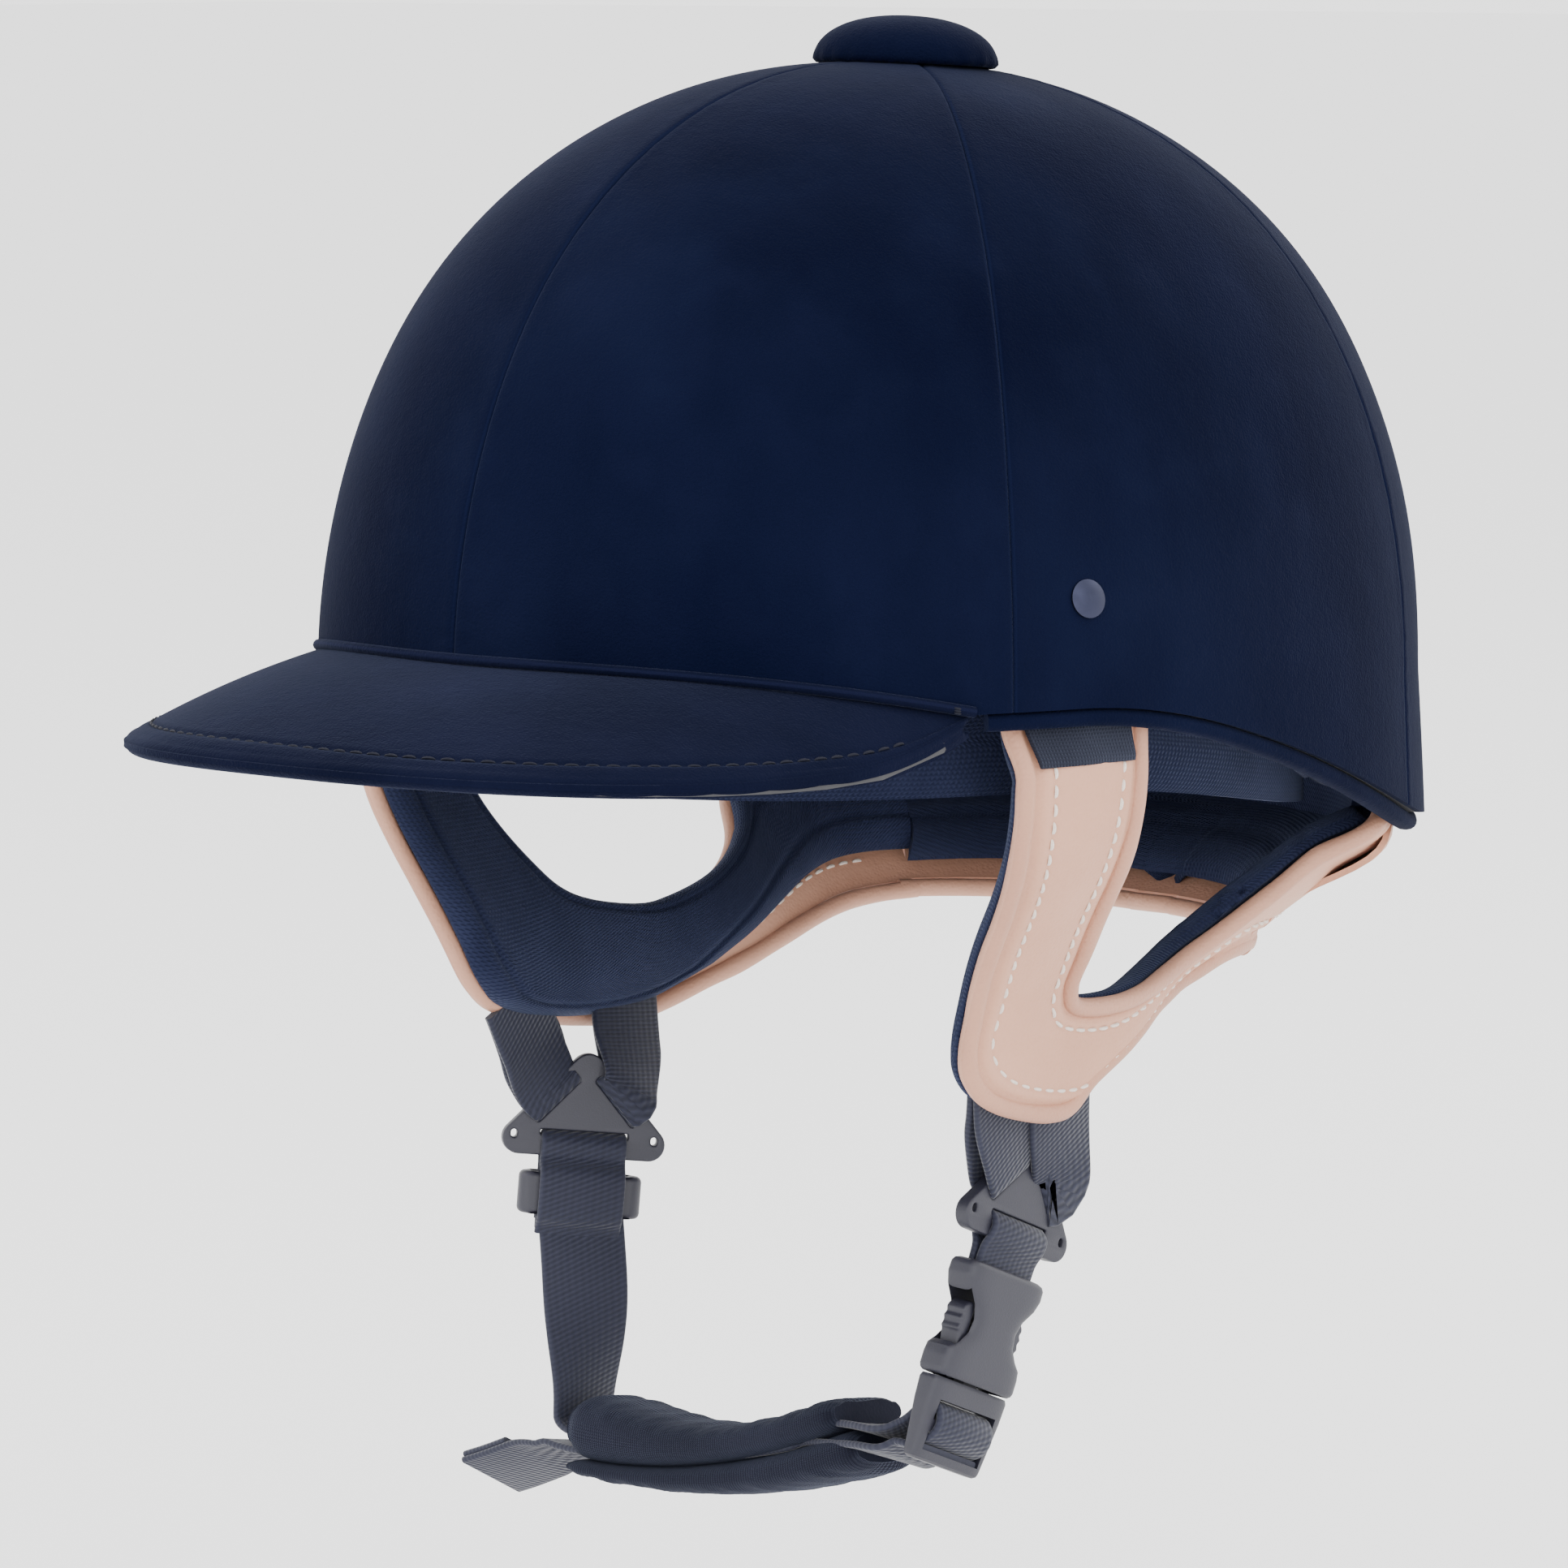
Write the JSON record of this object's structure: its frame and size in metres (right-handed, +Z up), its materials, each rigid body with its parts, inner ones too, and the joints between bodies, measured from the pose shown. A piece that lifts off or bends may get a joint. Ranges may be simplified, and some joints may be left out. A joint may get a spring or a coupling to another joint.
{
  "type": "equestrian riding helmet",
  "caption": "Velvet-covered riding helmet with a rounded crown, a wide peak, a padded leather harness and a buckled chin strap with a sliding chin pad.",
  "frame": {"origin": "centre of the head opening, at the height of the side rims, where the head's circumference is measured", "axes": "+Z up through the crown, +X the wearer's left, -Y forwards along the peak"},
  "size_m": [0.2108, 0.3299, 0.3247],
  "materials": {
    "velvet": "dark navy velvet, short nap",
    "peak_velvet": "navy velvet on the peak, slightly lighter",
    "shell_plastic": "moulded, matt",
    "board": "stiff board inside the peak",
    "liner_foam": "expanded foam, fine beads",
    "satin_steel": "satin",
    "edge_textile": "fine ribbed grey-blue textile",
    "lining": "navy jersey over padding",
    "harness_leather": "nude smooth leather, white stitches",
    "piping_leather": "nude leather rolled over a cord",
    "tab_fabric": "plain dark tab",
    "webbing": "ribbed woven webbing, dark navy",
    "buckle_plastic": "moulded acetal, satin",
    "chin_fabric": "navy fabric over padding"
  },
  "bodies": {
    "helmet": {"outer_shell": "shell_plastic", "panel_front_left": "velvet", "panel_side_left": "velvet", "panel_rear_left": "velvet", "panel_rear_right": "velvet", "panel_side_right": "velvet", "panel_front_right": "velvet", "crown_button": "velvet", "button_stud": "satin_steel", "peak_board": "board", "peak_top_cover": "peak_velvet", "peak_under_cover": "peak_velvet", "rim_binding": "velvet", "foam_liner": "liner_foam", "liner_edge_cover": "edge_textile", "crown_pad": "lining", "headband": "lining", "anchor_rivets": "satin_steel", "anchor_washers": "satin_steel", "anchor_tabs": "webbing", "harness_leather_left": "harness_leather", "harness_leather_right": "harness_leather", "harness_lining_left": "lining", "harness_lining_right": "lining", "harness_piping_left": "piping_leather", "harness_piping_right": "piping_leather", "nape_leather": "harness_leather", "nape_lining": "lining", "nape_piping": "piping_leather", "label_tab": "tab_fabric"},
    "strap_carrier": {"webbing_v_left": "webbing", "webbing_v_right": "webbing", "divider_left": "buckle_plastic", "divider_right": "buckle_plastic", "socket_webbing": "webbing", "buckle_socket": "buckle_plastic", "divider_webbing": "webbing"},
    "slider": {"strap_slider": "buckle_plastic"},
    "chin_strap": {"side_webbing": "webbing", "chin_webbing": "webbing", "webbing_tail": "webbing", "buckle_plug": "buckle_plastic"},
    "chin_pad": {"chin_pad_top": "chin_fabric", "chin_pad_cover": "chin_fabric"},
    "prong_front": {"prong_front": "buckle_plastic"},
    "prong_rear": {"prong_rear": "buckle_plastic"}
  },
  "joints": [
    {"name": "strap_swing", "type": "hinge", "parent": "helmet", "child": "strap_carrier", "pos_m": [0, -0.027, -0.084], "axis": [1, 0, 0], "range_deg": [-20, 25]},
    {"name": "slider_travel", "type": "slide", "parent": "strap_carrier", "child": "slider", "axis": [0, -0.1219, -0.9925], "range_m": [0, 0.004]},
    {"name": "strap_open", "type": "hinge", "parent": "strap_carrier", "child": "chin_strap", "pos_m": [-0.0575, -0.03245, -0.12837], "axis": [-0.0348, 0.9275, -0.3721], "range_deg": [0, 80]},
    {"name": "pad_slide", "type": "hinge", "parent": "chin_strap", "child": "chin_pad", "pos_m": [-0.0416, -0.01075, 0.04831], "axis": [0, 0.9925, -0.1219], "range_deg": [-1, 1]},
    {"name": "prong_front_squeeze", "type": "hinge", "parent": "chin_strap", "child": "prong_front", "pos_m": [0.0552, -0.04177, -0.14013], "axis": [0.9976, -0.0261, -0.0647], "range_deg": [-6, 0], "stiffness_Nm_per_rad": 0.06},
    {"name": "prong_rear_squeeze", "type": "hinge", "parent": "chin_strap", "child": "prong_rear", "pos_m": [0.0552, -0.02657, -0.14627], "axis": [0.9976, -0.0261, -0.0647], "range_deg": [0, 6], "stiffness_Nm_per_rad": 0.06}
  ],
  "couplings": [
    {"joint": "prong_rear_squeeze", "follows": "prong_front_squeeze", "ratio": -1}
  ]
}
